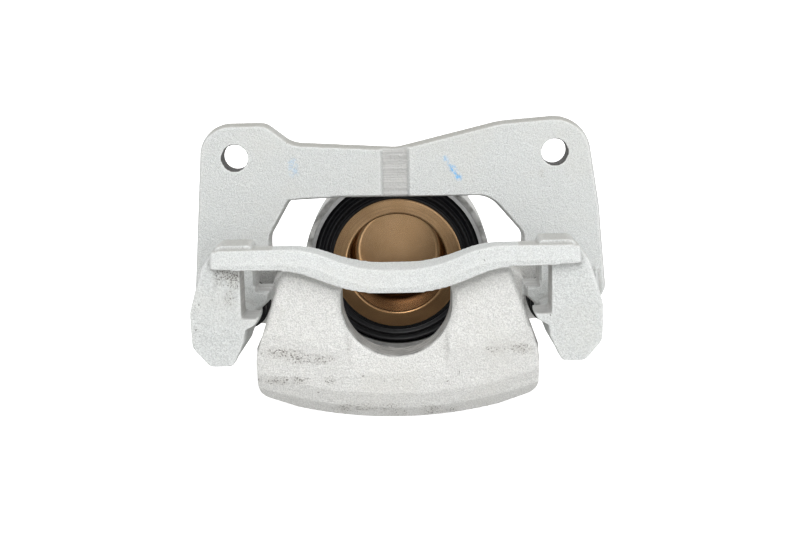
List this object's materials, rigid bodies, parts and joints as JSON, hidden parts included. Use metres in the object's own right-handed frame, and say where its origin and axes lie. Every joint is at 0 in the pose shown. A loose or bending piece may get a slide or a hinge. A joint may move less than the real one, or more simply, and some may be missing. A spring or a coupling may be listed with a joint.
{
  "type": "brake caliper",
  "caption": "Floating disc brake caliper with anchor bracket: the housing slides on guide pins and a cup piston presses the pad against the disc.",
  "frame": {"origin": "midway between the two knuckle bolt holes, on the anchor bracket's inboard mounting face", "axes": "+Y inboard along the knuckle bolts and the piston, +Z towards the wheel axis, +X along the tie bar, to the right in the picture"},
  "size_m": [0.1846, 0.1648, 0.1226],
  "materials": {
    "cast_plated": "bright zinc-aluminium coated rough casting",
    "piston_finish": "satin bronze-coloured phenolic-look metal",
    "black_rubber": "matte",
    "ring_steel": "satin",
    "pin_steel": "zinc plated, satin",
    "bolt_steel": "zinc plated",
    "bleeder_steel": "zinc plated"
  },
  "bodies": {
    "bracket": {"anchor_bracket": "cast_plated"},
    "caliper": {"caliper_housing": "cast_plated", "piston_seal": "black_rubber", "piston_dust_boot": "black_rubber", "boot_retaining_ring": "ring_steel", "left_guide_pin": "pin_steel", "right_guide_pin": "pin_steel", "pin_bushing": "black_rubber", "left_pin_bolt": "bolt_steel", "right_pin_bolt": "bolt_steel", "left_pin_boot": "black_rubber", "right_pin_boot": "black_rubber"},
    "piston": {"piston": "piston_finish"},
    "bleeder": {"bleeder_screw": "bleeder_steel"},
    "cap": {"bleeder_cap": "black_rubber"}
  },
  "joints": [
    {"name": "caliper_slide", "type": "slide", "parent": "bracket", "child": "caliper", "axis": [0, 1, 0], "range_m": [-0.0135, 0.002], "deforming": ["left_pin_boot", "right_pin_boot"]},
    {"name": "piston_stroke", "type": "slide", "parent": "caliper", "child": "piston", "axis": [0, -1, 0], "range_m": [0, 0.022], "deforming": ["piston_dust_boot"]},
    {"name": "bleeder_turn", "type": "hinge", "parent": "caliper", "child": "bleeder", "pos_m": [0.015, 0.08, -0.038], "axis": [0, 1, 0], "range_deg": [0, 180]},
    {"name": "bleeder_cap_pull", "type": "slide", "parent": "bleeder", "child": "cap", "axis": [0, 1, 0], "range_m": [0, 0.012]}
  ]
}
